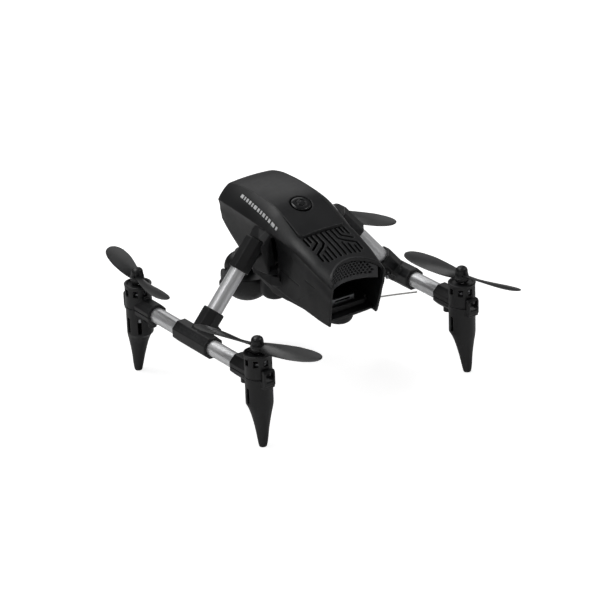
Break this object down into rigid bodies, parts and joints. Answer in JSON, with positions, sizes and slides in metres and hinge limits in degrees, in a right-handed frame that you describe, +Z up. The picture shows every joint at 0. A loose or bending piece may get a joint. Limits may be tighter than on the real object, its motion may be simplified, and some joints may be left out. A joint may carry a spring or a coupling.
{
  "type": "quadcopter drone",
  "caption": "Small quadcopter with an arched body, inclined tube arms, fore-and-aft booms, tapered landing legs, open rear battery bay and a tilting ball camera under the nose",
  "frame": {"origin": "on the ground, midway between the four motor axes, level with the undersides of the feet, which is also the bottom centre of the box round the part with its propellers at rest", "axes": "+X to the aircraft's right, +Y forward towards the nose and camera, +Z up"},
  "size_m": [0.1544, 0.1768, 0.0969],
  "materials": {
    "shell": "satin moulded black with soft edge highlights",
    "frame": "satin moulded black",
    "bay": "matt black",
    "prop": "semi-gloss black",
    "tube": "fine satin",
    "fittings": "satin steel",
    "board": "solder-mask green",
    "contacts": "plain",
    "glass": "polished dark window",
    "lens": "matt black",
    "wire": "pale sleeve"
  },
  "bodies": {
    "airframe": {"upper_shell": "shell", "top_cover": "shell", "rear_grille": "shell", "belly_pan": "shell", "bay_tray": "bay", "bay_contacts": "contacts", "bay_latch": "fittings", "button_switch": "fittings", "main_board": "board", "floor_sensor": "glass", "antenna_wire": "wire", "arm_socket_left": "frame", "arm_socket_right": "frame", "arm_tube_left": "tube", "arm_tube_right": "tube", "t_joint_left": "frame", "t_joint_right": "frame", "t_screw_left": "fittings", "t_screw_right": "fittings", "boom_tube_left": "tube", "boom_tube_right": "tube", "bracket_fl": "frame", "bracket_rl": "frame", "bracket_rr": "frame", "bracket_fr": "frame", "leg_fl": "frame", "leg_rl": "frame", "leg_rr": "frame", "leg_fr": "frame", "screw_fl": "fittings", "screw_rl": "fittings", "screw_rr": "fittings", "screw_fr": "fittings", "motor_fl": "fittings", "motor_rl": "fittings", "motor_rr": "fittings", "motor_fr": "fittings", "gimbal_neck": "frame", "gimbal_yoke": "frame", "tilt_pin_left": "fittings", "tilt_pin_right": "fittings"},
    "camera": {"camera_ball": "frame", "lens_barrel": "lens", "lens_glass": "glass"},
    "button": {"power_button": "shell"},
    "rotor_fl": {"prop_fl": "prop", "shaft_fl": "fittings"},
    "rotor_rl": {"prop_rl": "prop", "shaft_rl": "fittings"},
    "rotor_rr": {"prop_rr": "prop", "shaft_rr": "fittings"},
    "rotor_fr": {"prop_fr": "prop", "shaft_fr": "fittings"}
  },
  "joints": [
    {"name": "spin_fl", "type": "hinge", "parent": "airframe", "child": "rotor_fl", "pos_m": [-0.0627, 0.052, 0.0522], "axis": [0, 0, 1], "continuous": true},
    {"name": "spin_rl", "type": "hinge", "parent": "airframe", "child": "rotor_rl", "pos_m": [-0.0627, -0.052, 0.0522], "axis": [0, 0, 1], "continuous": true},
    {"name": "spin_rr", "type": "hinge", "parent": "airframe", "child": "rotor_rr", "pos_m": [0.0627, -0.052, 0.0522], "axis": [0, 0, 1], "continuous": true},
    {"name": "spin_fr", "type": "hinge", "parent": "airframe", "child": "rotor_fr", "pos_m": [0.0627, 0.052, 0.0522], "axis": [0, 0, 1], "continuous": true},
    {"name": "camera_tilt", "type": "hinge", "parent": "airframe", "child": "camera", "pos_m": [0, 0.0458, 0.0362], "axis": [1, 0, 0], "range_deg": [-20, 8]},
    {"name": "button_press", "type": "slide", "parent": "airframe", "child": "button", "axis": [0, 0.285, -0.9585], "range_m": [0, 0.0006]}
  ]
}
